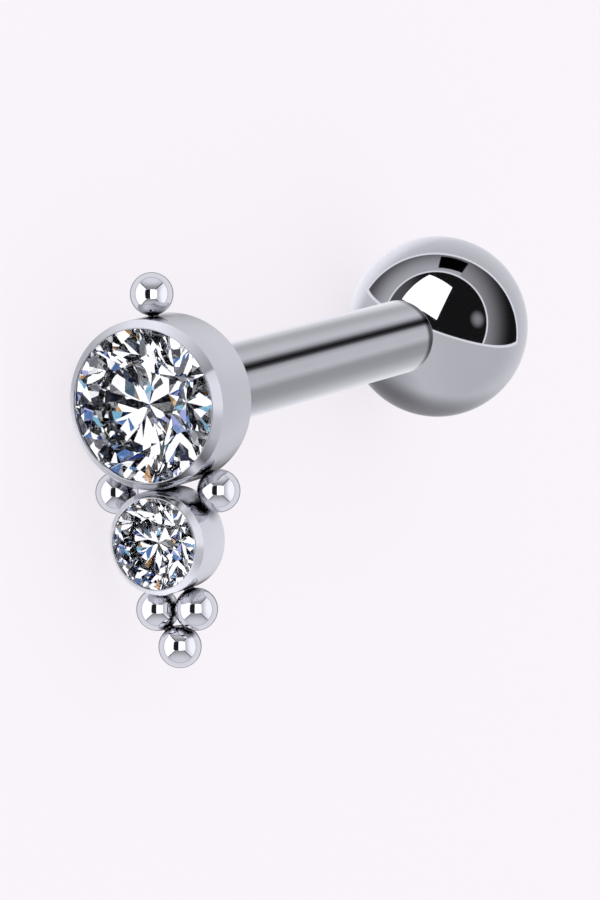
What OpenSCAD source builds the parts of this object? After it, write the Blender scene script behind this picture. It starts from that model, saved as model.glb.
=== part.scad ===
// Straight piercing barbell: two round stones in plain bezels with six round beads,
// soldered to a post that a ball closes. It is drawn lying on its side, as it rests by itself.

/* [Post and ball] */
// Diameter of the post, 16 gauge
post_d = 1.2; // [1:0.05:1.6]
// Bare length of the post between the head and the ball
post_len = 8; // [6:0.5:12]
// Diameter of the ball
ball_d = 3; // [2.8:0.1:4]
// Radius of the rounded edge at the free end of the post
post_edge = 0.08; // [0.04:0.01:0.1]
// Diameter of the ball's pin
pin_d = 0.8; // [0.6:0.05:0.85]
// Length of the ball's pin
pin_len = 2; // [1:0.1:2.5]
// Radial clearance of the pin in the post
pin_gap = 0.04; // [0.02:0.01:0.06]

/* [Large bezel] */
// Outside diameter of the large bezel
large_d = 2.57; // [2.4:0.01:2.8]
// Depth of the large bezel from its lip to its flat back
large_depth = 1.08; // [1:0.01:1.3]
// Diameter of the opening in the lip of the large bezel
large_opening = 2.31; // [2.1:0.01:2.34]
// Depth of the sloping rim, from the lip to the shoulder
large_rim = 0.11; // [0.08:0.01:0.15]

/* [Small bezel] */
// Outside diameter of the small bezel
small_d = 1.58; // [1.5:0.01:1.8]
// Depth of the small bezel from its lip to its flat back
small_depth = 0.82; // [0.78:0.01:1]
// Diameter of the opening in the lip of the small bezel
small_opening = 1.38; // [1.25:0.01:1.4]
// Depth of the sloping rim of the small bezel
small_rim = 0.09; // [0.07:0.01:0.12]

/* [Beads] */
// Diameter of each bead
bead_d = 0.65; // [0.55:0.01:0.75]
// How far behind the lips the bead centres lie
bead_back = 0.575; // [0.5:0.005:0.65]
// Gap that the solder fills between pieces
solder_gap = 0.005; // [0.005:0.005:0.02]
// Diameter of each solder joint
solder_d = 0.2; // [0.12:0.02:0.24]

/* [Stones] */
// How much wider a stone is than the opening that holds it
stone_hold = 0.05; // [0.03:0.01:0.06]
// Table width as a share of the stone's diameter
table_share = 0.57; // [0.5:0.01:0.65]
// Slope of the crown's main facets
crown_angle = 34.5; // [30:0.5:36]
// Slope of the pavilion's main facets
pavilion_angle = 40.75; // [39:0.25:42]
// Share of the crown's width that the star facets take
star_share = 0.5; // [0.4:0.05:0.6]
// Share of the pavilion's width that the lower girdle facets take
lower_share = 0.77; // [0.7:0.01:0.85]
// Girdle thickness as a share of the stone's radius
girdle_share = 0.05; // [0.03:0.01:0.08]
// Gap between a stone and its seat
stone_gap = 0.02; // [0.015:0.005:0.03]

/* [Hidden] */
$fn = 96;

post_r = post_d / 2;
ball_r = ball_d / 2;
pin_r = pin_d / 2;
bead_r = bead_d / 2;
large_r = large_d / 2;
small_r = small_d / 2;

// Thickness of each lip at its edge, width of its bright front, and the break of a bezel's back edge
lip_thick = 0.045;
lip_width = 0.02;
back_edge = 0.04;
// Depth of the top of both girdles, just behind the lips
girdle_depth = 0.085;
// How far the post's root reaches into the back of the large bezel
root = 0.2;

// Centres in the plane of the head: x to its right and z to its top, with the large bezel at zero
to_large = large_r + bead_r + solder_gap;
to_small = small_r + bead_r + solder_gap;
to_bead = bead_d + solder_gap;
small_drop = large_r + small_r + solder_gap;
flank_drop = (to_large^2 - to_small^2 + small_drop^2) / (2 * small_drop);
flank_side = sqrt(to_large^2 - flank_drop^2);
pair_side = to_bead / 2;
pair_drop = small_drop + sqrt(to_small^2 - pair_side^2);
last_drop = pair_drop + to_bead * cos(30);
large_centre = [0, 0];
small_centre = [0, -small_drop];
top_bead = [0, to_large];
last_bead = [0, -last_drop];
bead_centres = [
    top_bead,
    for (side = [-1, 1]) [side * flank_side, -flank_drop],
    for (side = [-1, 1]) [side * pair_side, -pair_drop],
    last_bead
];
head_middle = (top_bead + last_bead) / 2;
// Each solder joint: the centre of one piece, its radius, and the centre of the other piece
joints = [
    [large_centre, large_r, small_centre],
    [large_centre, large_r, top_bead],
    for (i = [1, 2]) [large_centre, large_r, bead_centres[i]],
    for (i = [1:4]) [small_centre, small_r, bead_centres[i]],
    [bead_centres[3], bead_r, bead_centres[4]],
    for (i = [3, 4]) [bead_centres[i], bead_r, last_bead]
];

// Places along the post, measured back from the lips
post_end = large_depth + post_len;
seat_r = post_r - post_edge;
seat_gap = 0.02;
seat_cut = sqrt(ball_r^2 - seat_r^2);
ball_back = post_end + seat_gap + seat_cut;

// How the barbell lies: the ball, the shoulder of the large bezel and the left flank bead
// touch the floor. pitch is the slope of the post, and roll turns the head about it.
shoulder_to_ball = ball_back - large_rim;
pitch = asin(ball_r / norm([shoulder_to_ball, large_r])) - atan2(large_r, shoulder_to_ball);
axis_height = large_rim * sin(-pitch) + large_r * cos(pitch);
flank_reach = (axis_height - bead_r + bead_back * sin(pitch)) / (to_large * cos(pitch));
roll = atan2(flank_drop, flank_side) - acos(flank_reach);

// Directions of the floor's axes as seen from the head, and the size of the lying barbell
floor_x = [sin(roll), 0, -cos(roll)];
floor_y = [-cos(roll) * sin(pitch), cos(pitch), -sin(roll) * sin(pitch)];
reach_up = -floor_x * [0, bead_back, to_large] + bead_r;
reach_down = floor_x * [0, bead_back, -last_drop] + bead_r;
reach_back = floor_y * [0, ball_back, 0] + ball_r;
crown_rise = (1 - table_share) * tan(crown_angle) * (large_opening + stone_hold) / 2;
table_r = table_share * (large_opening + stone_hold) / 2;
table_front = [for (turn = [0:45:315])
    floor_y * [table_r * cos(turn), girdle_depth - crown_rise, table_r * sin(turn)]];
reach_front = -min(table_front);

// Lays the barbell on the floor, centred over the origin
module lie_down() {
    translate([(reach_up - reach_down) / 2, (reach_front - reach_back) / 2, axis_height])
        rotate([pitch, 0, 0])
            rotate([0, roll - 90, 0])
                children();
}

// Turns a profile of [radius, depth] into a solid around the line of the post
module turned(profile) {
    rotate([-90, 0, 0]) rotate_extrude() polygon(profile);
}

// Outside of a bezel, solid right through
module bezel_body(r, opening, depth, rim) {
    turned([
        [0, 0],
        [opening / 2 + lip_width, 0],
        [r, rim],
        [r, depth - back_edge],
        [r - back_edge, depth],
        [0, depth]
    ]);
}

// Room for a stone: the hole in the lip, the groove of the girdle and the seat below it
module stone_room(opening) {
    r = (opening + stone_hold) / 2;
    girdle_end = girdle_depth + girdle_share * r;
    junction_r = (1 - lower_share) * r;
    turned([
        [0, -0.1],
        [opening / 2, -0.1],
        [opening / 2, lip_thick],
        [r + stone_gap, lip_thick],
        [r + stone_gap, girdle_end + stone_gap],
        [junction_r + stone_gap, girdle_end + facet_depth(r, junction_r) + 1.5 * stone_gap],
        [0, girdle_end + r * tan(pavilion_angle) + 2 * stone_gap]
    ]);
}

// Depth below the girdle of a point between two pavilion mains, at radius at_r
function facet_depth(r, at_r) = (r - at_r * cos(22.5)) * tan(pavilion_angle);

// Straight post, rounded at its free end, with its root inside the large bezel
module post() {
    turned([
        [0, large_depth - root],
        [post_r, large_depth - root],
        for (turn = [0:15:90])
            [seat_r + post_edge * cos(turn), post_end - post_edge + post_edge * sin(turn)],
        [0, post_end]
    ]);
}

// Bead with its poles along the post and its seam facing out of the head, clear of the solder
module bead(centre) {
    out = centre - head_middle;
    translate([centre[0], bead_back, centre[1]])
        rotate([0, atan2(-out[1], out[0]), 0])
            rotate([90, 0, 0])
                sphere(bead_r);
}

// Short pin of solder across the gap between two pieces
module solder_joint(start, radius, end) {
    way = end - start;
    half = 0.06;
    translate([start[0], bead_back, start[1]])
        rotate([0, atan2(way[0], way[1]), 0])
            translate([0, 0, radius + solder_gap / 2 - half])
                cylinder(d = solder_d, h = 2 * half);
}

module setting() {
    color("silver") lie_down() difference() {
        union() {
            bezel_body(large_r, large_opening, large_depth, large_rim);
            translate([0, 0, -small_drop])
                bezel_body(small_r, small_opening, small_depth, small_rim);
            for (c = bead_centres) bead(c);
            for (j = joints) solder_joint(j[0], j[1], j[2]);
            post();
        }
        stone_room(large_opening);
        translate([0, 0, -small_drop]) stone_room(small_opening);
        translate([0, post_end - pin_len - 2 * seat_gap, 0])
            rotate([-90, 0, 0]) cylinder(r = pin_r + pin_gap, h = pin_len + 1);
    }
}

// Ball with a small flat seat against the post and a plain pin inside it
module ball() {
    color("silver") lie_down() translate([0, ball_back, 0]) rotate([-90, 0, 0]) {
        difference() {
            sphere(ball_r);
            translate([0, 0, -ball_r - seat_cut]) cylinder(r = ball_r, h = ball_r);
        }
        translate([0, 0, -seat_cut - seat_gap - pin_len]) cylinder(r = pin_r, h = pin_len + 1);
    }
}

function ring(r, up, count, start) =
    [for (i = [0:count - 1]) [r * cos(start + i * 360 / count), r * sin(start + i * 360 / count), up]];

// Round brilliant with its girdle's top at zero, its table up and its point down
module brilliant(d) {
    r = d / 2;
    table_r = table_share * r;
    star_r = r * (star_share + (1 - star_share) * table_share * cos(22.5));
    junction_r = (1 - lower_share) * r;
    girdle = girdle_share * r;
    points = concat(
        ring(table_r, (r - table_r) * tan(crown_angle), 8, 0),
        ring(star_r, (r - star_r * cos(22.5)) * tan(crown_angle), 8, 22.5),
        ring(r, 0, 16, 0),
        ring(r, -girdle, 16, 0),
        ring(junction_r, -girdle - facet_depth(r, junction_r), 8, 22.5),
        [[0, 0, -girdle - r * tan(pavilion_angle)]]
    );
    star = 8;
    top = 16;
    low = 32;
    lower = 48;
    culet = 56;
    faces = concat(
        [[for (i = [7:-1:0]) i]],
        [for (i = [0:7]) [i, (i + 1) % 8, star + i]],
        [for (i = [0:7]) [i, star + i, top + 2 * i, star + (i + 7) % 8]],
        [for (i = [0:7]) [star + i, top + 2 * i + 1, top + 2 * i]],
        [for (i = [0:7]) [star + i, top + (2 * i + 2) % 16, top + 2 * i + 1]],
        [for (i = [0:15]) [top + i, top + (i + 1) % 16, low + (i + 1) % 16, low + i]],
        [for (i = [0:7]) [lower + i, low + 2 * i, low + 2 * i + 1]],
        [for (i = [0:7]) [lower + i, low + 2 * i + 1, low + (2 * i + 2) % 16]],
        [for (i = [0:7]) [culet, lower + (i + 7) % 8, low + 2 * i, lower + i]]
    );
    polyhedron(points, faces);
}

module large_stone() {
    color("lightcyan") lie_down()
        translate([0, girdle_depth, 0]) rotate([90, 0, 0]) brilliant(large_opening + stone_hold);
}

module small_stone() {
    color("lightcyan") lie_down()
        translate([0, girdle_depth, -small_drop])
            rotate([90, 0, 0]) brilliant(small_opening + stone_hold);
}

setting();
ball();
large_stone();
small_stone();
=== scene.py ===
"""Straight piercing barbell: two round stones in plain bezels with six beads, a post and a ball.

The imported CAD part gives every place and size. This script gives its metal fine shapes, gives metal
and stones their finish, and sets a pale floor, shells of soft light and a camera around it.
"""

import math

import bmesh
import bpy
from mathutils import Matrix, Vector


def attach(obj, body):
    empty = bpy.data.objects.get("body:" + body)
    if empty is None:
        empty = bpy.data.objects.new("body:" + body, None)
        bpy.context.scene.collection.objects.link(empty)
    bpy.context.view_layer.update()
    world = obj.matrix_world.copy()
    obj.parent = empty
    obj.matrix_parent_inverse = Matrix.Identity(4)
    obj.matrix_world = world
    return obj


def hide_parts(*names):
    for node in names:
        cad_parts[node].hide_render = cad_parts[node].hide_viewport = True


bl_info = {
    "name": "Piercing Barbell",
    "version": (1, 0, 0),
    "blender": (4, 5, 0),
    "location": "3D View > Sidebar > Barbell",
    "description": "Builds a straight piercing barbell with two bezel-set stones, six beads and a ball",
    "category": "Add Mesh",
}

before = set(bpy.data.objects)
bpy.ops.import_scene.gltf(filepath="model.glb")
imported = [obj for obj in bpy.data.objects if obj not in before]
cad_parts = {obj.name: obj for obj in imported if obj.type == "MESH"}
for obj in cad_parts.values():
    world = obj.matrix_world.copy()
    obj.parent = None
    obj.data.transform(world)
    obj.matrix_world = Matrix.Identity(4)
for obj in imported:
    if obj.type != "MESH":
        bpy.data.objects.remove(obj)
MM = 0.001

# How the CAD part lies on the floor: slope of its post, roll of its head, and the place of the
# head's own origin, which is the centre of the large bezel's lip. In the head's frame x is its
# right, y runs back along the post and z is its top.
PITCH = math.radians(1.18643)
ROLL = math.radians(4.61739)
HEAD_PLACE = Vector((-1.04823, -5.86359, 1.28245)) * MM
LIE_DOWN = (
    Matrix.Translation(HEAD_PLACE)
    @ Matrix.Rotation(PITCH, 4, "X")
    @ Matrix.Rotation(ROLL - math.radians(90), 4, "Y")
)

HEAD_BODY = "head_and_post"
BALL_BODY = "ball_end"
ROUND = 128  # sides of a turned piece
SHARP = math.radians(28)  # edges that turn by more than this stay crisp
SAME = 1e-8  # points nearer than this, in metres, are one
FACING = 0.99  # how squarely a face has to look along an axis to count as an end
NEAR = 0.002 * MM  # how far a face or edge may lie from the place where it is looked for
POINT = 0.002 * MM  # radius at which a cone ends

# Fine edges of the turned metal: width of each bevel
RIM_EDGE = 0.012 * MM
LIP_EDGE = 0.006 * MM
HOLE_EDGE = 0.005 * MM
PIN_TIP = 0.06 * MM

EDGE_STEPS = 8  # flats in the rounded edge of the post
ROOT = 0.03 * MM  # how far the post starts inside the back of the large bezel
SEAT_SLACK = 0.01 * MM  # how far past the end of a stone's room a wall may still be part of it

# The cut of the stones, as in the CAD part, which shapes the room behind the lips
GIRDLE_DEPTH = 0.085 * MM
GIRDLE_SHARE = 0.05  # thickness of the girdle as a share of the stone's radius
JUNCTION_SHARE = 0.23  # where the long lower facets end, as a share of the stone's radius
PAVILION = math.radians(40.75)
HALF_FACET = math.radians(22.5)

# A collar of solder: radius at its flared ends, half the length of its waist and of the whole
FLARE = 0.11 * MM
WAIST_HALF = 0.01 * MM
COLLAR_HALF = 0.03 * MM

# Painted shade in the crevices round solder joints: how far from a joint it is darkest, and where
# it ends on each finish
SHADE_HEART = 0.06 * MM
MIRROR_SHADE_REACH = 0.22 * MM
TURNED_SHADE_REACH = 0.34 * MM

# The painted shade ring at the post's free end, where it meets the ball: where it starts, measured
# back from the end, where it is full, and how dark it gets
RING_START = 0.28 * MM
RING_FULL = 0.15 * MM
RING_SHADE = 0.95

# Patterns in the finishes, as repeats in each metre: clouding, gloss and polishing marks of steel,
# growth in a stone, and the flats in its seat
CLOUDS = 900.0
UNEVEN = 6000.0
MARKS = 40000.0
GROWTH = 1500.0
FLATS = 2200.0

MARK_HEIGHT = 0.0005 * MM
DRAWN_OUT = 40.0  # how much the polishing marks on turned metal are stretched along the post
SMOOTHEST = 0.85  # roughness of the smoothest and of the dullest patches, as shares of the steel's
DULLEST = 1.2


def length(name, default, description):
    """A length in millimetres, kept in metres."""
    return bpy.props.FloatProperty(
        name=name, description=description, default=default * MM, min=0.0, unit="LENGTH", precision=5
    )


def share(name, default, description):
    """A number from 0 to 1."""
    return bpy.props.FloatProperty(
        name=name, description=description, default=default, min=0.0, max=1.0, subtype="FACTOR"
    )


def colour(name, default, description):
    """A colour without transparency."""
    return bpy.props.FloatVectorProperty(
        name=name, description=description, default=default, size=3, min=0.0, max=1.0, subtype="COLOR"
    )


class BarbellSizes(bpy.types.PropertyGroup):
    """Sizes of the metal, the same as in the CAD part"""

    post_radius: length("Post radius", 0.6, "Radius of the 16 gauge post")
    post_length: length("Post length", 8.0, "Bare post between the head and the ball")
    post_edge: length("Post edge", 0.08, "Radius of the rounded edge at the post's free end")
    ball_radius: length("Ball radius", 1.5, "Radius of the screwed ball")
    pin_radius: length("Pin radius", 0.4, "Radius of the ball's pin")
    pin_length: length("Pin length", 2.0, "Length of the ball's pin")
    pin_gap: length("Pin gap", 0.04, "Clearance around the pin in the post")
    seat_gap: length("Seat gap", 0.02, "Gap between the ball's seat and the post")
    large_radius: length("Large bezel radius", 1.285, "Outside radius of the large bezel")
    large_depth: length("Large bezel depth", 1.08, "From the lip to the flat back")
    large_opening: length("Large opening radius", 1.155, "Radius of the hole in the large lip")
    large_rim: length("Large rim", 0.11, "Depth of the sloping rim")
    small_radius: length("Small bezel radius", 0.79, "Outside radius of the small bezel")
    small_depth: length("Small bezel depth", 0.82, "From the lip to the flat back")
    small_opening: length("Small opening radius", 0.69, "Radius of the hole in the small lip")
    small_rim: length("Small rim", 0.09, "Depth of the sloping rim")
    lip_width: length("Lip width", 0.02, "Width of the bright front of a lip")
    lip_thick: length("Lip thickness", 0.045, "Thickness of a lip at its edge")
    back_edge: length("Back edge", 0.04, "Rounding of a bezel's back edge")
    bead_radius: length("Bead radius", 0.325, "Radius of each bead")
    bead_back: length("Bead depth", 0.575, "How far behind the lips the bead centres lie")
    solder_gap: length("Solder gap", 0.005, "Gap that the solder fills")
    solder_radius: length("Solder radius", 0.08, "Radius of a solder joint at its waist")
    stone_hold: length("Stone hold", 0.05, "How much wider a stone is than the opening that holds it")
    stone_gap: length("Stone gap", 0.02, "Gap between a stone and its seat")


class BarbellFinish(bpy.types.PropertyGroup):
    """Colours and gloss of the metal, the stones and the floor"""

    steel: colour("Steel", (0.66, 0.66, 0.69), "Colour of the polished steel")
    steel_shade: colour("Steel shade", (0.60, 0.60, 0.64), "Colour of its slightly darker patches")
    # painted shade: the colour that the steel is darkened to round each solder joint and at the post's free
    # end
    painted_shade: colour("Crevice", (0.02, 0.02, 0.025), "Colour of the steel round a solder joint")
    mirror: share("Mirror roughness", 0.035, "Roughness of the ball and the beads")
    turned: share("Turned roughness", 0.055, "Roughness of the bezels and the post")
    stone: colour("Stone", (1.0, 1.0, 1.0), "Colour of the clear stones")
    stone_ior: bpy.props.FloatProperty(
        name="Stone index", description="How strongly the stones bend light", default=2.65, min=1.3, max=2.8
    )
    floor: colour("Floor", (0.80, 0.763, 0.807), "Colour of the pale floor")
    floor_glow: share("Floor glow", 0.8, "Share of the floor's light that comes up through it")


class BarbellStage(bpy.types.PropertyGroup):
    """Camera and studio light"""

    camera_place: bpy.props.FloatVectorProperty(
        name="Camera", description="Where the camera stands", size=3, subtype="TRANSLATION",
        default=(-0.00597, -0.07674, 0.03813), precision=5,
    )
    camera_aim: bpy.props.FloatVectorProperty(
        name="Aim", description="Point in the middle of the image", size=3, subtype="TRANSLATION",
        default=(-0.000056, -0.004961, 0.003311), precision=5,
    )
    camera_roll: bpy.props.FloatProperty(
        name="Roll", description="Turn of the camera about its line of sight", subtype="ANGLE",
        default=math.radians(83.477),
    )
    lens: bpy.props.FloatProperty(
        name="Lens", description="Focal length in millimetres", default=215.245, min=1.0
    )
    room_light: bpy.props.FloatProperty(
        name="Room light", description="Strength of the soft light from all round", default=1.22, min=0.0
    )
    light_bounces: bpy.props.IntProperty(
        name="Light bounces", description="How often light may turn inside the stones", default=32, min=4
    )


SETTINGS = (
    ("barbell_sizes", BarbellSizes),
    ("barbell_finish", BarbellFinish),
    ("barbell_stage", BarbellStage),
)


# Places in the plane of the head


def head_plan(s):
    """Centres of the small bezel and the beads as (x, z), and which pieces the solder joins."""
    to_large = s.large_radius + s.bead_radius + s.solder_gap
    to_small = s.small_radius + s.bead_radius + s.solder_gap
    to_bead = 2 * s.bead_radius + s.solder_gap
    small_drop = s.large_radius + s.small_radius + s.solder_gap
    flank_drop = (to_large**2 - to_small**2 + small_drop**2) / (2 * small_drop)
    flank_side = math.sqrt(to_large**2 - flank_drop**2)
    pair_side = to_bead / 2
    pair_drop = small_drop + math.sqrt(to_small**2 - pair_side**2)
    last_drop = pair_drop + to_bead * math.cos(math.radians(30))
    places = {
        "large_bezel": (0.0, 0.0),
        "small_bezel": (0.0, -small_drop),
        "bead_top": (0.0, to_large),
        "bead_flank_left": (-flank_side, -flank_drop),
        "bead_flank_right": (flank_side, -flank_drop),
        "bead_pair_left": (-pair_side, -pair_drop),
        "bead_pair_right": (pair_side, -pair_drop),
        "bead_last": (0.0, -last_drop),
    }
    joined = {
        "small_bezel": ["large_bezel"],
        "bead_top": ["large_bezel"],
        "bead_flank_left": ["large_bezel", "small_bezel"],
        "bead_flank_right": ["large_bezel", "small_bezel"],
        "bead_pair_left": ["small_bezel", "bead_pair_right"],
        "bead_pair_right": ["small_bezel"],
        "bead_last": ["bead_pair_left", "bead_pair_right"],
    }
    return places, joined


def solder_place(start_at, start_r, end_at, depth, gap):
    """Where the collar between two round pieces stands: its middle in the gap, its axis across it."""
    way = Vector((end_at[0] - start_at[0], 0.0, end_at[1] - start_at[1])).normalized()
    middle = Vector((start_at[0], depth, start_at[1])) + way * (start_r + gap / 2)
    return Matrix.Translation(middle) @ way.to_track_quat("Z", "Y").to_matrix().to_4x4()


def solder_joints(s):
    """Each solder joint as the piece that it stays with and the place of its collar."""
    places, joined = head_plan(s)
    found = []
    for name, others in joined.items():
        r = s.small_radius if name == "small_bezel" else s.bead_radius
        for other in others:
            found.append((name, solder_place(places[name], r, places[other], s.bead_back, s.solder_gap)))
    return found


# Modelling


def start(add, name, **sizes):
    """Adds a primitive in the head's frame and opens it in edit mode."""
    bpy.ops.object.select_all(action="DESELECT")
    add(**sizes)
    piece = bpy.context.active_object
    piece.name = piece.data.name = name
    bpy.ops.object.transform_apply(location=True, rotation=True, scale=True)
    bpy.ops.object.mode_set(mode="EDIT")
    return piece


def pick_faces(piece, wanted):
    """Selects the faces of the open piece for which wanted(centre, normal) holds."""
    bpy.ops.mesh.select_mode(type="FACE")
    bpy.ops.mesh.select_all(action="DESELECT")
    mesh = bmesh.from_edit_mesh(piece.data)
    for face in mesh.faces:
        face.select_set(wanted(face.calc_center_median(), face.normal))
    bmesh.update_edit_mesh(piece.data)


def pick_edges(piece, wanted):
    """Selects the edges of the open piece whose two ends both pass wanted(point)."""
    bpy.ops.mesh.select_mode(type="EDGE")
    bpy.ops.mesh.select_all(action="DESELECT")
    mesh = bmesh.from_edit_mesh(piece.data)
    for edge in mesh.edges:
        edge.select_set(all(wanted(v.co) for v in edge.verts))
    bmesh.update_edit_mesh(piece.data)


def draw_out(centre, steps):
    """Extrudes the picked round face, which faces along y, through steps of (radius, depth)."""
    middle = (centre[0], 0.0, centre[1])
    for (r, depth), (next_r, next_depth) in zip(steps, steps[1:]):
        bpy.ops.mesh.extrude_region_move(TRANSFORM_OT_translate={"value": (0.0, next_depth - depth, 0.0)})
        grow = next_r / r
        bpy.ops.transform.resize(value=(grow, 1.0, grow), center_override=middle)


def ring_at(centre, r, depth):
    """A test for points on the circle of radius r around the centre's axis, at that depth."""

    def on_ring(point):
        off = math.hypot(point.x - centre[0], point.z - centre[1]) - r
        return abs(off) < NEAR and abs(point.y - depth) < NEAR

    return on_ring


def round_ring(piece, centre, r, depth, width, segments):
    """Rounds the edge that runs round a turned piece at (r, depth)."""
    pick_edges(piece, ring_at(centre, r, depth))
    bpy.ops.mesh.bevel(offset=width, segments=segments, profile=0.5)


def close_up(piece):
    """Merges doubles, turns faces outward and leaves edit mode."""
    bpy.ops.mesh.select_all(action="SELECT")
    bpy.ops.mesh.remove_doubles(threshold=SAME)
    bpy.ops.mesh.normals_make_consistent(inside=False)
    bpy.ops.object.mode_set(mode="OBJECT")


def only(piece):
    """Selects one piece and nothing else."""
    bpy.ops.object.select_all(action="DESELECT")
    piece.select_set(True)
    bpy.context.view_layer.objects.active = piece


def copy_of(pattern, name, place):
    """A copy with its own mesh, moved by the matrix place, which goes into the mesh."""
    only(pattern)
    bpy.ops.object.duplicate(linked=False)
    piece = bpy.context.active_object
    piece.name = piece.data.name = name
    piece.matrix_world = place
    bpy.ops.object.transform_apply(location=True, rotation=True, scale=True)
    return piece


def weld(piece, part):
    """Unites piece with part, which is used up."""
    only(piece)
    union = piece.modifiers.new("weld", "BOOLEAN")
    union.operation = "UNION"
    union.solver = "EXACT"
    union.object = part
    bpy.ops.object.modifier_apply(modifier=union.name)
    bpy.data.objects.remove(part)


def lay_down(piece, body, material, *nodes):
    """Lays a finished piece of the head's frame on the floor, gives it its finish, hangs it on its body and
    hides the CAD parts that it stands for.
    """
    only(piece)
    piece.matrix_world = LIE_DOWN
    bpy.ops.object.transform_apply(location=True, rotation=True, scale=True)
    bpy.ops.object.shade_smooth_by_angle(angle=SHARP)
    even = piece.modifiers.new("even", "WEIGHTED_NORMAL")
    even.keep_sharp = True
    bpy.ops.object.modifier_apply(modifier=even.name)
    piece.data.materials.clear()
    piece.data.materials.append(material)
    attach(piece, body)
    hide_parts(*nodes)


def line_room(piece, centre, r, first, last):
    """Gives the seat's finish to the walls within r of the centre and between the two depths."""
    piece.data.materials.append(steel("steel_seat"))
    back = LIE_DOWN.inverted()
    for face in piece.data.polygons:
        place = back @ face.center
        off = math.hypot(place.x - centre[0], place.z - centre[1])
        if off < r and first < place.y < last:
            face.material_index = 1


# Pieces of the head


def room_profile(opening, s):
    """The room for a stone as (radius, depth) steps, from the lip's hole to the point."""
    stone_r = opening + s.stone_hold / 2
    slope = math.tan(PAVILION)
    girdle_end = GIRDLE_DEPTH + GIRDLE_SHARE * stone_r
    groove_r = stone_r + s.stone_gap
    junction_r = JUNCTION_SHARE * stone_r
    junction_end = girdle_end + (stone_r - junction_r * math.cos(HALF_FACET)) * slope
    return [
        (opening, 0.0),
        (opening, s.lip_thick),
        (groove_r, s.lip_thick),
        (groove_r, girdle_end + s.stone_gap),
        (junction_r + s.stone_gap, junction_end + 1.5 * s.stone_gap),
        (POINT, girdle_end + stone_r * slope + 2 * s.stone_gap),
    ]


def stop_at(profile, depth):
    """The profile up to that depth, with its last step cut short there."""
    kept = [step for step in profile if step[1] < depth]
    if len(kept) == len(profile):
        return kept
    (r, at), (next_r, next_at) = kept[-1], profile[len(kept)]
    return [*kept, (r + (next_r - r) * (depth - at) / (next_at - at), depth)]


def make_bezel(name, centre, r, opening, depth, rim, s):
    """A turned cup: flat back, straight wall, sloping rim, thin bright lip and room for the stone."""
    bezel = start(
        bpy.ops.mesh.primitive_cylinder_add, name,
        vertices=ROUND, radius=r, depth=depth - rim, end_fill_type="NGON",
        location=(centre[0], (depth + rim) / 2, centre[1]), rotation=(math.radians(90), 0.0, 0.0),
    )
    room = stop_at(room_profile(opening, s), depth)
    pick_faces(bezel, lambda c, n: n.y < -FACING)
    draw_out(centre, [(r, rim), (opening + s.lip_width, 0.0), *room])
    if room[-1][1] == depth:  # the point of the stone's room runs on into the post
        bpy.ops.mesh.delete(type="FACE")
        pick_faces(bezel, lambda c, n: n.y > FACING and c.y > depth - NEAR)
        draw_out(centre, [(r, depth), (room[-1][0], depth)])
        bpy.ops.mesh.delete(type="FACE")
        bpy.ops.mesh.select_all(action="SELECT")
        bpy.ops.mesh.remove_doubles(threshold=SAME)
    round_ring(bezel, centre, r, depth, s.back_edge, 5)
    round_ring(bezel, centre, r, rim, RIM_EDGE, 3)
    round_ring(bezel, centre, opening + s.lip_width, 0.0, LIP_EDGE, 2)
    round_ring(bezel, centre, opening, 0.0, HOLE_EDGE, 2)
    close_up(bezel)
    return bezel


def make_solder(s):
    """A collar of solder around the origin along z, narrow at its waist and flared to both pieces."""
    collar = start(
        bpy.ops.mesh.primitive_cylinder_add, "solder_pattern",
        vertices=32, radius=s.solder_radius, depth=2 * WAIST_HALF, end_fill_type="NGON",
    )
    rise = COLLAR_HALF - WAIST_HALF
    grow = FLARE / s.solder_radius
    for side in (-1, 1):
        pick_faces(collar, lambda c, n, side=side: n.z * side > FACING)
        bpy.ops.mesh.extrude_region_move(TRANSFORM_OT_translate={"value": (0.0, 0.0, side * rise)})
        bpy.ops.transform.resize(value=(grow, grow, 1.0), center_override=(0.0, 0.0, 0.0))
    close_up(collar)
    return collar


def make_bead(s):
    """A bead around the origin, with its poles along the post."""
    bead = start(
        bpy.ops.mesh.primitive_uv_sphere_add, "bead_pattern",
        segments=64, ring_count=32, radius=s.bead_radius, rotation=(math.radians(90), 0.0, 0.0),
    )
    close_up(bead)
    return bead


def ball_seat(s):
    """Depth of the ball's flat seat."""
    return s.large_depth + s.post_length + s.seat_gap


def ball_middle(s):
    """Depth of the ball's centre."""
    return ball_seat(s) + math.sqrt(s.ball_radius**2 - (s.post_radius - s.post_edge) ** 2)


# Materials


def node(tree, kind, inputs=None, **settings):
    """Adds a node; inputs maps a socket to a value or to the output that feeds it."""
    made = tree.nodes.new(kind)
    for key, value in settings.items():
        setattr(made, key, value)
    for key, value in (inputs or {}).items():
        if isinstance(value, bpy.types.NodeSocket):
            tree.links.new(value, made.inputs[key])
        else:
            made.inputs[key].default_value = value
    return made


def combine(tree, operation, a, b):
    """A Math node's result."""
    return node(tree, "ShaderNodeMath", {0: a, 1: b}, operation=operation).outputs[0]


def smooth_step(tree, value, low, high, at_low, at_high):
    """A value that goes softly from at_low to at_high while the given one goes from low to high."""
    return node(tree, "ShaderNodeMapRange", {
        "Value": value, "From Min": low, "From Max": high, "To Min": at_low, "To Max": at_high,
    }, interpolation_type="SMOOTHSTEP").outputs["Result"]


def fill_ramp(ramp, stops):
    """Sets the stops of a colour ramp from pairs of place and colour."""
    elements = ramp.color_ramp.elements
    while len(elements) < len(stops):
        elements.new(1.0)
    for element, (at, tone) in zip(elements, stops):
        element.position = at
        element.color = (*tone, 1.0)


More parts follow.
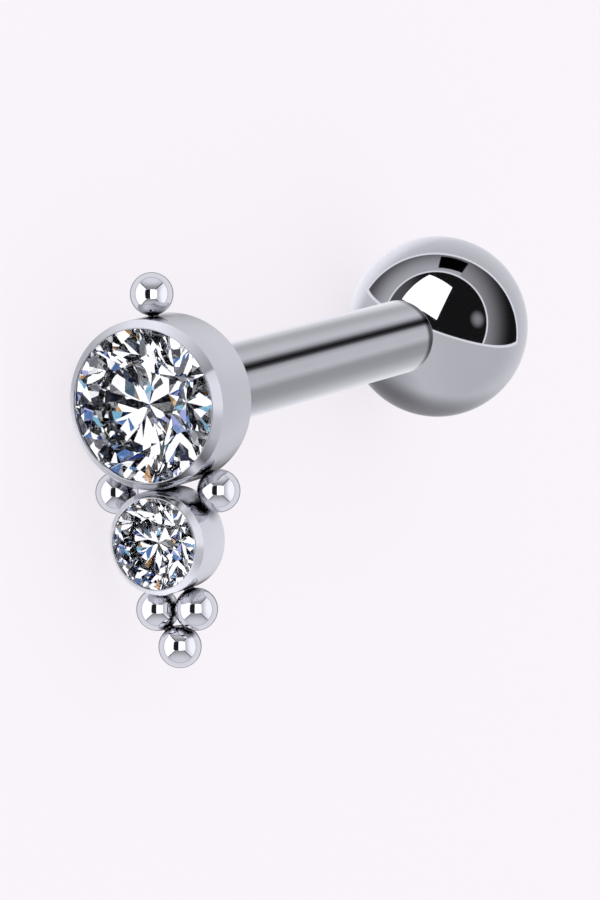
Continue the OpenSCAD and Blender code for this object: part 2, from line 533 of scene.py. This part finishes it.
def painted_crevice_shade(tree, place, reach):
    """How much painted shade a point gets near a solder joint: 1 near the joint, 0 beyond reach."""
    nearest = 1.0
    for _, joint in solder_joints(bpy.context.scene.barbell_sizes):
        middle = LIE_DOWN @ joint.translation
        off = node(tree, "ShaderNodeVectorMath", {0: place, 1: middle}, operation="DISTANCE")
        nearest = combine(tree, "MINIMUM", nearest, off.outputs["Value"])
    return smooth_step(tree, nearest, SHADE_HEART, reach, 1.0, 0.0)


def end_shade(tree, place):
    """Painted shade: how dark the post is made near its free end, where it meets the ball."""
    s = bpy.context.scene.barbell_sizes
    end = s.large_depth + s.post_length
    from_head = node(tree, "ShaderNodeVectorMath", {0: place, 1: HEAD_PLACE}, operation="SUBTRACT")
    depth = along(tree, from_head.outputs["Vector"], LIE_DOWN.to_3x3() @ Vector((0.0, 1.0, 0.0)))
    return smooth_step(tree, depth, end - RING_START, end - RING_FULL, 0.0, RING_SHADE)


def make_steel(name, finish, roughness, streaks, reach):
    """Polished steel: faint clouding, uneven gloss, hair-fine polishing marks, and painted shade in the
    crevices round solder joints and, on turned steel, at the post's free end.

    streaks stretches the marks along the post, as on turned and drawn metal, and reach is how far
    from a solder joint the painted shade goes.
    """
    material = bpy.data.materials.new(name)
    material.use_nodes = True
    tree = material.node_tree
    shader = tree.nodes["Principled BSDF"]
    shader.inputs["Metallic"].default_value = 1.0
    place = node(tree, "ShaderNodeTexCoord").outputs["Object"]
    clouds = node(tree, "ShaderNodeTexNoise", {"Vector": place, "Scale": CLOUDS, "Detail": 3.0})
    tone = node(tree, "ShaderNodeMix", {"Factor": clouds.outputs["Fac"]}, data_type="RGBA")
    tone.inputs["A"].default_value = (*finish.steel_shade, 1.0)
    tone.inputs["B"].default_value = (*finish.steel, 1.0)
    # painted shade: the steel's colour is darkened round each solder joint
    shade = painted_crevice_shade(tree, place, reach)
    # painted shade ring at the post's free end, where it meets the ball
    if name == "steel_turned":
        shade = combine(tree, "MAXIMUM", shade, end_shade(tree, place))
    shaded = node(tree, "ShaderNodeMix", {
        "Factor": shade, "A": tone.outputs["Result"], "B": (*finish.painted_shade, 1.0)
    }, data_type="RGBA")
    tree.links.new(shaded.outputs["Result"], shader.inputs["Base Color"])
    fine = node(tree, "ShaderNodeTexNoise", {"Vector": place, "Scale": UNEVEN, "Detail": 2.0})
    gloss = node(tree, "ShaderNodeMapRange", {
        "Value": fine.outputs["Fac"], "From Min": 0.3, "From Max": 0.7,
        "To Min": roughness * SMOOTHEST, "To Max": roughness * DULLEST,
    })
    tree.links.new(gloss.outputs["Result"], shader.inputs["Roughness"])
    drawn = node(tree, "ShaderNodeMapping", {"Vector": place, "Scale": (1.0, 1.0 / streaks, 1.0)})
    marks = node(tree, "ShaderNodeTexNoise", {"Vector": drawn.outputs["Vector"], "Scale": MARKS})
    bump = node(tree, "ShaderNodeBump", {
        "Height": marks.outputs["Fac"], "Strength": 0.05, "Distance": MARK_HEIGHT
    })
    tree.links.new(bump.outputs["Normal"], shader.inputs["Normal"])
    return material


def make_stone(finish):
    """Clear cut stone: it bends light strongly, and its polish has a very faint grain."""
    material = bpy.data.materials.new("clear_stone_cut")
    material.use_nodes = True
    tree = material.node_tree
    shader = tree.nodes["Principled BSDF"]
    shader.inputs["Transmission Weight"].default_value = 1.0
    shader.inputs["IOR"].default_value = finish.stone_ior
    shader.inputs["Roughness"].default_value = 0.0
    place = node(tree, "ShaderNodeTexCoord").outputs["Object"]
    growth = node(tree, "ShaderNodeTexNoise", {"Vector": place, "Scale": GROWTH, "Detail": 1.0})
    tint = node(tree, "ShaderNodeMix", {"Factor": growth.outputs["Fac"]}, data_type="RGBA")
    tint.inputs["A"].default_value = (*finish.stone, 1.0)
    tint.inputs["B"].default_value = (0.97, 0.985, 1.0, 1.0)
    tree.links.new(tint.outputs["Result"], shader.inputs["Base Color"])
    return material


def make_seat(name):
    """Satin metal of a stone's seat, left in small flats of different tone by the graver."""
    material = bpy.data.materials.new(name)
    material.use_nodes = True
    tree = material.node_tree
    shader = tree.nodes["Principled BSDF"]
    shader.inputs["Metallic"].default_value = 1.0
    shader.inputs["Roughness"].default_value = 0.5
    place = node(tree, "ShaderNodeTexCoord").outputs["Object"]
    flats = node(tree, "ShaderNodeTexVoronoi", {"Vector": place, "Scale": FLATS})
    pick = node(tree, "ShaderNodeSeparateColor", {"Color": flats.outputs["Color"]})
    ramp = node(tree, "ShaderNodeValToRGB", {"Fac": pick.outputs["Red"]})
    ramp.color_ramp.interpolation = "CONSTANT"
    fill_ramp(ramp, [
        (0.0, (0.05, 0.05, 0.06)), (0.3, (0.25, 0.26, 0.28)), (0.65, (0.6, 0.6, 0.64)),
    ])
    tree.links.new(ramp.outputs["Color"], shader.inputs["Base Color"])
    return material


def steel(name):
    """The finish for the ball and beads, for the turned pieces or for the seats, made once."""
    finish = bpy.context.scene.barbell_finish
    if name not in bpy.data.materials:
        if name == "steel_seat":
            make_seat(name)
        elif name == "steel_mirror":
            make_steel(name, finish, finish.mirror, 1.0, MIRROR_SHADE_REACH)
        else:
            make_steel(name, finish, finish.turned, DRAWN_OUT, TURNED_SHADE_REACH)
    return bpy.data.materials[name]


# Operators


class AddPost(bpy.types.Operator):
    """Add the post: a straight rod with a rounded, bored end"""

    bl_idname = "barbell.add_post"
    bl_label = "Post"
    bl_options = {"REGISTER", "UNDO"}

    def execute(self, context):
        s = context.scene.barbell_sizes
        root = s.large_depth - ROOT
        end = s.large_depth + s.post_length
        straight_end = end - s.post_edge
        post = start(
            bpy.ops.mesh.primitive_cylinder_add, "post",
            vertices=ROUND, radius=s.post_radius, depth=straight_end - root, end_fill_type="NGON",
            location=(0.0, (straight_end + root) / 2, 0.0), rotation=(math.radians(90), 0.0, 0.0),
        )
        pick_faces(post, lambda c, n: n.y > FACING)
        inner = s.post_radius - s.post_edge
        turns = [math.radians(90 * i / EDGE_STEPS) for i in range(EDGE_STEPS + 1)]
        edge = [
            (inner + s.post_edge * math.cos(t), straight_end + s.post_edge * math.sin(t)) for t in turns
        ]
        bore = s.pin_radius + s.pin_gap
        floor = end - s.pin_length - 2 * s.seat_gap
        draw_out((0.0, 0.0), [*edge, (bore, end), (bore, floor)])
        room = room_profile(s.large_opening, s)
        wide = stop_at(room, root)[-1][0] + s.stone_gap
        point_end = room[-1][1] + s.stone_gap
        pick_faces(post, lambda c, n: n.y < -FACING and c.y < root + NEAR)
        draw_out((0.0, 0.0), [(s.post_radius, root), (wide, root), (POINT, point_end)])
        close_up(post)
        lay_down(post, HEAD_BODY, steel("steel_turned"), "setting")
        line_room(post, (0.0, 0.0), s.post_radius, root - SEAT_SLACK, point_end + SEAT_SLACK)
        return {"FINISHED"}


class AddBezels(bpy.types.Operator):
    """Add the large and the small bezel"""

    bl_idname = "barbell.add_bezels"
    bl_label = "Bezels"
    bl_options = {"REGISTER", "UNDO"}

    def execute(self, context):
        s = context.scene.barbell_sizes
        places = head_plan(s)[0]
        large = make_bezel(
            "large_bezel", places["large_bezel"],
            s.large_radius, s.large_opening, s.large_depth, s.large_rim, s,
        )
        small = make_bezel(
            "small_bezel", places["small_bezel"],
            s.small_radius, s.small_opening, s.small_depth, s.small_rim, s,
        )
        collar = make_solder(s)
        for holder, place in solder_joints(s):
            if holder == small.name:
                weld(small, copy_of(collar, "solder", place))
        bpy.data.objects.remove(collar)
        for bezel, opening, depth in (
            (large, s.large_opening, s.large_depth), (small, s.small_opening, s.small_depth)
        ):
            lay_down(bezel, HEAD_BODY, steel("steel_turned"), "setting")
            r = opening + s.stone_hold
            line_room(bezel, places[bezel.name], r, s.lip_thick - NEAR, depth - SEAT_SLACK)
        return {"FINISHED"}


class AddBeads(bpy.types.Operator):
    """Add the six beads with the solder that holds them"""

    bl_idname = "barbell.add_beads"
    bl_label = "Beads"
    bl_options = {"REGISTER", "UNDO"}

    def execute(self, context):
        s = context.scene.barbell_sizes
        bead_pattern, collar = make_bead(s), make_solder(s)
        for name, (x, z) in head_plan(s)[0].items():
            if not name.startswith("bead"):
                continue
            bead = copy_of(bead_pattern, name, Matrix.Translation((x, s.bead_back, z)))
            for holder, place in solder_joints(s):
                if holder == name:
                    weld(bead, copy_of(collar, "solder", place))
            lay_down(bead, HEAD_BODY, steel("steel_mirror"), "setting")
        bpy.data.objects.remove(bead_pattern)
        bpy.data.objects.remove(collar)
        return {"FINISHED"}


class AddBall(bpy.types.Operator):
    """Add the ball with its flat seat and its plain pin"""

    bl_idname = "barbell.add_ball"
    bl_label = "Ball"
    bl_options = {"REGISTER", "UNDO"}

    def execute(self, context):
        s = context.scene.barbell_sizes
        seat_r = s.post_radius - s.post_edge
        seat, middle = ball_seat(s), ball_middle(s)
        ball = start(
            bpy.ops.mesh.primitive_uv_sphere_add, "ball_end_piece",
            segments=160, ring_count=96, radius=s.ball_radius,
            location=(0.0, middle, 0.0), rotation=(math.radians(90), 0.0, 0.0),
        )
        bpy.ops.mesh.select_all(action="SELECT")
        bpy.ops.mesh.bisect(
            plane_co=(0.0, seat, 0.0), plane_no=(0.0, -1.0, 0.0),
            use_fill=True, clear_outer=True, threshold=SAME,
        )
        pick_faces(ball, lambda c, n: n.y < -FACING and c.y < seat + NEAR)
        pin_end = seat - s.pin_length
        draw_out((0.0, 0.0), [
            (seat_r, seat), (s.pin_radius, seat), (s.pin_radius, pin_end + PIN_TIP),
            (s.pin_radius - PIN_TIP, pin_end),
        ])
        round_ring(ball, (0.0, 0.0), seat_r, seat, RIM_EDGE, 3)
        close_up(ball)
        lay_down(ball, BALL_BODY, steel("steel_mirror"), "ball")
        return {"FINISHED"}


class FinishStones(bpy.types.Operator):
    """Give the two cut stones of the CAD part their clear finish"""

    bl_idname = "barbell.finish_stones"
    bl_label = "Stones"
    bl_options = {"REGISTER", "UNDO"}

    def execute(self, context):
        stone = make_stone(context.scene.barbell_finish)
        for name in ("large_stone", "small_stone"):
            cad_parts[name].data.materials[0] = stone
        return {"FINISHED"}


# Stage


def camera_axes(stage):
    """The camera's turn as a matrix whose columns point right, up and back in the image."""
    sight = Vector(stage.camera_aim) - Vector(stage.camera_place)
    level = sight.to_track_quat("-Z", "Y").to_matrix().to_4x4()
    return level @ Matrix.Rotation(stage.camera_roll, 4, "Z")


SENSOR = 36.0  # width of the camera's sensor in millimetres
NEAREST = 0.001  # the camera sees nothing nearer than this, in metres, and nothing past the next
FURTHEST = 10.0
FLOOR_SIZE = 0.8
FLOOR_LIGHT = 1.185  # strength at which the floor's glow is as bright as the light it sends back
BACKDROP = (0.948, 0.904, 0.956)  # colour of what the camera sees beyond the floor

# Small lights that the cut stones see. Each row gives where a tone starts, as a share of all the
# lights, and its colour: greys, then blues, then white, then a little amber.
SMALL_LIGHTS = 9.0  # scale of the pattern that they lie in
SPARKLE = (
    (0.0, (0.004, 0.004, 0.008)), (0.23, (0.045, 0.045, 0.055)), (0.29, (0.12, 0.12, 0.13)),
    (0.34, (0.24, 0.24, 0.27)), (0.40, (0.47, 0.47, 0.52)), (0.43, (0.02, 0.05, 0.26)),
    (0.47, (0.30, 0.66, 0.92)), (0.487, (0.13, 0.27, 0.62)), (0.56, (0.74, 0.92, 1.25)),
    (0.59, (0.55, 0.58, 1.05)), (0.62, (1.7, 1.7, 1.75)), (0.984, (0.62, 0.30, 0.05)),
)

# Shells of light are wide spheres, and each one is mirrored by its own pieces alone. A direction
# from a shell's middle is (right, up, back) as the camera sees it.
FIRST_SHELL = 36 * MM
SHELL_STEP = 2 * MM
SHELL_COLOUR = (0.945, 0.945, 1.0)
PANEL_EDGE = 0.006  # softness of a panel's edges, as a share of the radius

# Panels of the shell for the beads, a later one over an earlier one. Each row holds the planes that
# bound the panel, its strength, and how it fades. A plane is a direction and the share of the radius
# beyond which the panel lies. A fade is a direction, how far along it the fade starts and ends, and
# the strength at its end. A row with no strength dims what lies under it, down to the last number.
BEFORE = (0.0, 0.0, 1.0, -0.08)
UNDER_TOP = (0.0, -1.0, 0.47, 0.0)
OVER_FOOT = (0.0, 1.0, 0.47, 0.0)
BEAD_PANELS = (
    ((), 1.08, ((0.0, 0.0, -1.0), 0.74, 0.93, 0.28)),
    (((0.0, 0.0, 1.0, -0.16),), 0.7, ((0.0, 0.0, 1.0), -0.14, 0.2, 0.01)),
    (((1.0, 1.0, 0.0, 0.06), (-1.0, 1.0, 0.0, 0.06), BEFORE), 0.42, ((0.0, 1.0, 0.0), 0.55, 1.0, 1.1)),
    (((1.0, -1.0, 0.0, 0.05), (-1.0, -1.0, 0.0, 0.05), BEFORE), 0.45, ((0.0, -1.0, 0.0), 0.45, 1.0, 1.0)),
    (((-1.0, 1.0, 0.0, 0.0), (-1.0, -1.0, 0.0, 0.0), BEFORE), 1.7, None),
    (((1.0, 1.0, 0.0, 0.0), (1.0, -1.0, 0.0, 0.0), BEFORE), 0.85, ((1.0, 0.0, 0.0), 0.55, 0.9, 1.5)),
    (((1.0, 0.0, 0.67, 0.0), (-1.0, 0.0, 0.57, 0.0), UNDER_TOP, OVER_FOOT), 0.02, None),
    (((1.0, 0.0, 0.1, 0.0), (-1.0, 0.0, 0.57, 0.0), UNDER_TOP, OVER_FOOT), 2.2, None),
)

# Panels of the shell for the ball
ABOVE = (0.3362, 0.924, 0.1822)
IN_FRONT = (-0.0862, -0.3226, 0.9426)
WITHIN = (-0.0703, 0.0739, 0.9948)
BAND = ((*ABOVE, 0.0592), (*IN_FRONT, -0.5088))
SPOT = (0.762, 0.125, 0.636)
WINDOW_CORNERS = (
    (-0.149, 0.913, 0.379), (0.27, 0.738, 0.619), (-0.04, 0.12, 0.992), (-0.682, 0.507, 0.528),
)
FLAG_CORNERS = (
    (0.056, 0.988, -0.142), (0.443, 0.887, -0.128), (0.405, 0.888, 0.22), (0.009, 0.977, 0.215),
)


def between(corners):
    """The planes through a shell's middle that join each corner to the next, facing inward."""
    points = [Vector(c) for c in corners]
    middle = sum(points, Vector())
    cuts = []
    for here, after in zip(points, points[1:] + points[:1]):
        way = here.cross(after).normalized()
        if way.dot(middle) < 0:
            way = -way
        cuts.append((*way, 0.0))
    return tuple(cuts)


BALL_PANELS = (
    ((), 0.76, ((0.0, 0.0, -1.0), 0.1, 0.9, 0.9)),
    ((), None, ((-0.25, -0.62, -0.74), 0.65, 1.0, 0.36)),
    ((), None, ((-0.8, -0.5, -0.3), 0.6, 1.0, 0.65)),
    ((), None, ((-0.45, 0.38, -0.81), 0.8, 1.0, 1.35)),
    ((), None, ((1.0, 0.0, 0.0), -0.4, 0.5, 0.92)),
    (((*ABOVE, 0.02), (*IN_FRONT, -0.56)), 1.15, None),
    (BAND, 0.12, ((0.0, 0.0, 1.0), -0.4, 0.3, 0.6)),
    ((*BAND, (0.93, -0.36, 0.0, 0.05)), 0.4, ((0.6, 0.0, -0.8), 0.0, 0.8, 0.01)),
    (between(FLAG_CORNERS), 0.0, None),
    (((*ABOVE, 0.0592), (*WITHIN, 0.36)), 1.1, None),
    (((*ABOVE, 0.0592), (*WITHIN, 0.3957)), 0.12, ((1.0, 0.0, 0.0), -0.7, -0.2, 0.01)),
    (((*SPOT, 0.976), (*WITHIN, 0.3957)), 0.01, (SPOT, 0.98, 1.03, 0.95)),
    (between(WINDOW_CORNERS), 2.2, None),
)

# Shells for turned pieces: strength at each turn about the post, in degrees up from the head's
# right, for straight walls and for sloping rims. To the camera, walls mirror what lies far back along
# the post, and rims mirror what lies beside it.
BRIGHTEST = 2.0  # a ramp holds strengths up to this, as shares of it
WALL_FROM = (0.68, 0.78)  # how far back a direction points where a rim's light turns into a wall's
FRONT_TO = (-0.97, -0.92)  # the same for where the dark front ends
FRONT_SHARE = 0.05  # strength that is left in front
POST_WALL = (
    (-134, 0.91), (-92, 0.65), (-66, 0.48), (-43, 0.44), (-33, 0.46), (-14, 0.75), (14, 0.73), (24, 0.56),
    (33, 0.08), (41.7, 0.0), (50, 0.10), (61, 0.56), (71, 0.78), (82, 0.75), (106, 0.58), (120, 0.59),
    (137, 0.79), (161, 1.0),
)
LARGE_RIM = (
    (-180, 0.85), (-165, 1.1), (-140, 0.7), (-124, 0.3), (-96, 0.0), (-84, 0.35), (-78, 1.1), (-66, 0.2),
    (-42, 0.76), (-22, 0.85), (-10, 1.2), (14, 1.2), (27, 1.06), (30, 0.46), (64, 0.95), (100, 1.35),
    (123, 1.25), (156, 0.7),
)
SMALL_RIM = (
    (-180, 1.05), (-140, 1.05), (-105, 1.5), (-72, 1.3), (-42, 0.76), (-22, 0.82), (-10, 1.25), (14, 1.25),
    (30, 1.1), (47, 0.7), (60, 1.1), (72, 0.1), (80, 0.7), (88, 0.12), (104, 0.1), (135, 0.2), (144, 0.9),
)
LARGE_WALL = (
    (-170, 0.3), (-158, 0.12), (-134, 0.15), (-114, 0.48), (-88, 0.77), (-62, 0.87), (-14, 0.84),
    (10, 0.85), (40, 0.92), (82, 0.92), (106, 0.84), (130, 0.68), (154, 0.52), (178, 0.8),
)
SMALL_WALL = (
    (-170, 0.3), (-158, 0.15), (-134, 0.3), (-112, 0.82), (-86, 0.98), (-50, 1.06), (0, 1.04), (34, 0.97),
    (54, 0.5), (70, 0.12), (110, 0.3), (130, 0.15), (160, 0.25), (178, 0.25),
)


def along(tree, way, direction):
    """How far the unit vector way reaches along a direction."""
    unit = Vector(direction).normalized()
    return node(tree, "ShaderNodeVectorMath", {0: way, 1: unit}, operation="DOT_PRODUCT").outputs["Value"]


def blend(tree, share_of_b, a, b):
    """A mix of two numbers."""
    return node(tree, "ShaderNodeMix", {"Factor": share_of_b, "A": a, "B": b}).outputs["Result"]


def panel_light(tree, way, panels):
    """Strength of a shell made of panels."""
    strength = 0.0
    for cuts, level, fade in panels:
        if level is None:
            direction, low, high, far_share = fade
            kept = smooth_step(tree, along(tree, way, direction), low, high, 1.0, far_share)
            strength = combine(tree, "MULTIPLY", strength, kept)
            continue
        if fade:
            direction, low, high, far_level = fade
            level = smooth_step(tree, along(tree, way, direction), low, high, level, far_level)
        inside = 1.0
        for right, up, back, share_of_r in cuts:
            reach = along(tree, way, (right, up, back))
            step = smooth_step(
                tree, reach, share_of_r - PANEL_EDGE, share_of_r + PANEL_EDGE, 0.0, 1.0
            )
            inside = combine(tree, "MULTIPLY", inside, step)
        strength = blend(tree, inside, strength, level)
    return strength


def turned_light(tree, way, wall, rim):
    """Strength of a shell by its turn about the post, for straight walls and for sloping rims."""
    place = node(tree, "ShaderNodeSeparateXYZ", {0: way})
    turn = combine(tree, "ARCTAN2", place.outputs["Z"], place.outputs["X"])
    round_trip = node(tree, "ShaderNodeMapRange", {
        "Value": turn, "From Min": -math.pi, "From Max": math.pi
    })
    shown = []
    for stops in (rim, wall):
        ramp = node(tree, "ShaderNodeValToRGB", {"Fac": round_trip.outputs["Result"]})
        tones = [(0.5 + angle / 360, (tone / BRIGHTEST,) * 3) for angle, tone in stops]
        fill_ramp(ramp, tones)
        shown.append(ramp.outputs["Color"])
    straight = smooth_step(tree, place.outputs["Y"], *WALL_FROM, 0.0, 1.0)
    strength = combine(tree, "MULTIPLY", blend(tree, straight, *shown), BRIGHTEST)
    # straight in front a shell is dark, so the two rims mirror each other darkly where they meet
    front = smooth_step(tree, place.outputs["Y"], *FRONT_TO, FRONT_SHARE, 1.0)
    return combine(tree, "MULTIPLY", strength, front)


class SetStage(bpy.types.Operator):
    """Set the floor, the room light, the shells of light and the camera"""

    bl_idname = "barbell.set_stage"
    bl_label = "Stage"
    bl_options = {"REGISTER", "UNDO"}

    def execute(self, context):
        scene = context.scene
        stage, finish = scene.barbell_stage, scene.barbell_finish
        axes = camera_axes(stage)
        camera_data = bpy.data.cameras.new("camera")
        camera = bpy.data.objects.new("camera", camera_data)
        scene.collection.objects.link(camera)
        camera.matrix_world = Matrix.Translation(stage.camera_place) @ axes
        camera_data.lens = stage.lens
        camera_data.sensor_width = SENSOR
        camera_data.clip_start = NEAREST
        camera_data.clip_end = FURTHEST
        scene.camera = camera
        # light turns round many times inside a cut stone before it comes out
        scene.cycles.max_bounces = stage.light_bounces
        scene.cycles.glossy_bounces = stage.light_bounces
        scene.cycles.transmission_bounces = stage.light_bounces
        self.lay_floor(finish)
        scene.view_settings.view_transform = "Standard"
        self.light_room(scene, stage)
        s = scene.barbell_sizes
        head = LIE_DOWN
        seen = Matrix.Translation(head.translation) @ axes
        at_ball = Matrix.Translation(head @ Vector((0.0, ball_middle(s), 0.0))) @ axes
        beads = [name for name in head_plan(s)[0] if name.startswith("bead")]
        shells = (
            ("bead_light", beads, seen, panel_light, (BEAD_PANELS,)),
            ("ball_light", ["ball_end_piece"], at_ball, panel_light, (BALL_PANELS,)),
            ("post_light", ["post"], head, turned_light, (POST_WALL, POST_WALL)),
            ("large_bezel_light", ["large_bezel"], head, turned_light, (LARGE_WALL, LARGE_RIM)),
            ("small_bezel_light", ["small_bezel"], head, turned_light, (SMALL_WALL, SMALL_RIM)),
        )
        for number, (name, pieces, place, make_strength, tables) in enumerate(shells):
            radius = FIRST_SHELL + number * SHELL_STEP  # no two shells may lie on each other
            shell = self.hang_shell(name, place, radius, make_strength, tables)
            lit = bpy.data.collections.new(name + "_lit")
            for piece in pieces:
                lit.objects.link(bpy.data.objects[piece])
            shell.light_linking.receiver_collection = lit
        # the post's gloss shows its own shell right up to the end, and not the ball beyond it
        bpy.data.objects["ball_end_piece"].visible_glossy = False
        return {"FINISHED"}

    def lay_floor(self, finish):
        """A wide matt floor that gives part of its own light, so the shadow on it is faint."""
        bpy.ops.object.select_all(action="DESELECT")
        bpy.ops.mesh.primitive_plane_add(size=FLOOR_SIZE)
        floor = bpy.context.active_object
        floor.name = floor.data.name = "floor"
        paper = bpy.data.materials.new("pale_floor")
        paper.use_nodes = True
        shader = paper.node_tree.nodes["Principled BSDF"]
        lit_from_above = [tone * (1 - finish.floor_glow) for tone in finish.floor]
        shader.inputs["Base Color"].default_value = (*lit_from_above, 1.0)
        shader.inputs["Roughness"].default_value = 1.0
        shader.inputs["Specular IOR Level"].default_value = 0.0
        shader.inputs["Emission Color"].default_value = (*finish.floor, 1.0)
        shader.inputs["Emission Strength"].default_value = FLOOR_LIGHT * finish.floor_glow
        paper.cycles.emission_sampling = "NONE"
        floor.data.materials.append(paper)
        floor.visible_glossy = False
        floor.visible_transmission = False

    def light_room(self, scene, stage):
        """Soft light from all round.

        Mirrors see the shells instead, and the cut stones see many small lights.
        """
        world = bpy.data.worlds.new("room")
        scene.world = world
        world.use_nodes = True
        tree = world.node_tree
        tree.nodes.clear()
        path = node(tree, "ShaderNodeLightPath")
        soft = node(tree, "ShaderNodeBackground", {
            "Color": (1.0, 1.0, 1.0, 1.0), "Strength": stage.room_light
        })
        seen = node(tree, "ShaderNodeBackground", {"Color": (*BACKDROP, 1.0), "Strength": 1.0})
        mirrored = node(tree, "ShaderNodeBackground", {"Strength": 0.0})
        way = node(tree, "ShaderNodeTexCoord").outputs["Generated"]
        cells = node(tree, "ShaderNodeTexVoronoi", {"Vector": way, "Scale": SMALL_LIGHTS})
        pick = node(tree, "ShaderNodeSeparateColor", {"Color": cells.outputs["Color"]})
        ramp = node(tree, "ShaderNodeValToRGB", {"Fac": pick.outputs["Red"]})
        ramp.color_ramp.interpolation = "CONSTANT"
        fill_ramp(ramp, SPARKLE)
        sparkle = node(tree, "ShaderNodeBackground", {"Color": ramp.outputs["Color"], "Strength": 1.0})
        shown = soft
        for ray, light in (("Camera", seen), ("Glossy", mirrored), ("Transmission", sparkle)):
            shown = node(tree, "ShaderNodeMixShader", {
                0: path.outputs[f"Is {ray} Ray"], 1: shown.outputs[0], 2: light.outputs[0]
            })
        node(tree, "ShaderNodeOutputWorld", {"Surface": shown.outputs[0]})

    def hang_shell(self, name, place, radius, make_strength, tables):
        """A wide shell of light that shows in mirrors alone.

        Pieces that it doesn't light look through it.
        """
        bpy.ops.object.select_all(action="DESELECT")
        bpy.ops.mesh.primitive_uv_sphere_add(segments=64, ring_count=32, radius=radius)
        shell = bpy.context.active_object
        shell.name = shell.data.name = name
        shell.matrix_world = place
        material = bpy.data.materials.new(name)
        material.use_nodes = True
        tree = material.node_tree
        tree.nodes.clear()
        out = node(tree, "ShaderNodeTexCoord").outputs["Object"]
        way = node(tree, "ShaderNodeVectorMath", {0: out}, operation="NORMALIZE").outputs["Vector"]
        strength = make_strength(tree, way, *tables)
        glow = node(tree, "ShaderNodeEmission", {"Color": (*SHELL_COLOUR, 1.0), "Strength": strength})
        clear = node(tree, "ShaderNodeBsdfTransparent")
        both = node(tree, "ShaderNodeAddShader", {0: glow.outputs[0], 1: clear.outputs[0]})
        node(tree, "ShaderNodeOutputMaterial", {"Surface": both.outputs[0]})
        material.cycles.emission_sampling = "NONE"
        shell.data.materials.append(material)
        shell.visible_camera = False
        shell.visible_diffuse = False
        shell.visible_transmission = False
        shell.visible_volume_scatter = False
        shell.visible_shadow = False
        return shell


OPERATORS = (AddPost, AddBezels, AddBeads, AddBall, FinishStones, SetStage)


class BarbellPanel(bpy.types.Panel):
    """Lists the pieces of the barbell and their settings"""

    bl_idname = "VIEW3D_PT_barbell"
    bl_label = "Piercing Barbell"
    bl_space_type = "VIEW_3D"
    bl_region_type = "UI"
    bl_category = "Barbell"

    def draw(self, context):
        column = self.layout.column()
        for operator in OPERATORS:
            column.operator(operator.bl_idname)
        for name, group in SETTINGS:
            box = self.layout.box()
            for key in group.__annotations__:
                box.prop(getattr(context.scene, name), key)


def register():
    for name, group in SETTINGS:
        bpy.utils.register_class(group)
        setattr(bpy.types.Scene, name, bpy.props.PointerProperty(type=group))
    for operator in OPERATORS:
        bpy.utils.register_class(operator)
    bpy.utils.register_class(BarbellPanel)


def unregister():
    bpy.utils.unregister_class(BarbellPanel)
    for operator in reversed(OPERATORS):
        bpy.utils.unregister_class(operator)
    for name, group in reversed(SETTINGS):
        delattr(bpy.types.Scene, name)
        bpy.utils.unregister_class(group)


def main():
    """Builds the barbell and its stage."""
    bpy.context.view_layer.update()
    register()
    bpy.ops.barbell.add_post()
    bpy.ops.barbell.add_bezels()
    bpy.ops.barbell.add_beads()
    bpy.ops.barbell.add_ball()
    bpy.ops.barbell.finish_stones()
    bpy.ops.barbell.set_stage()


if __name__ == "__main__":
    main()
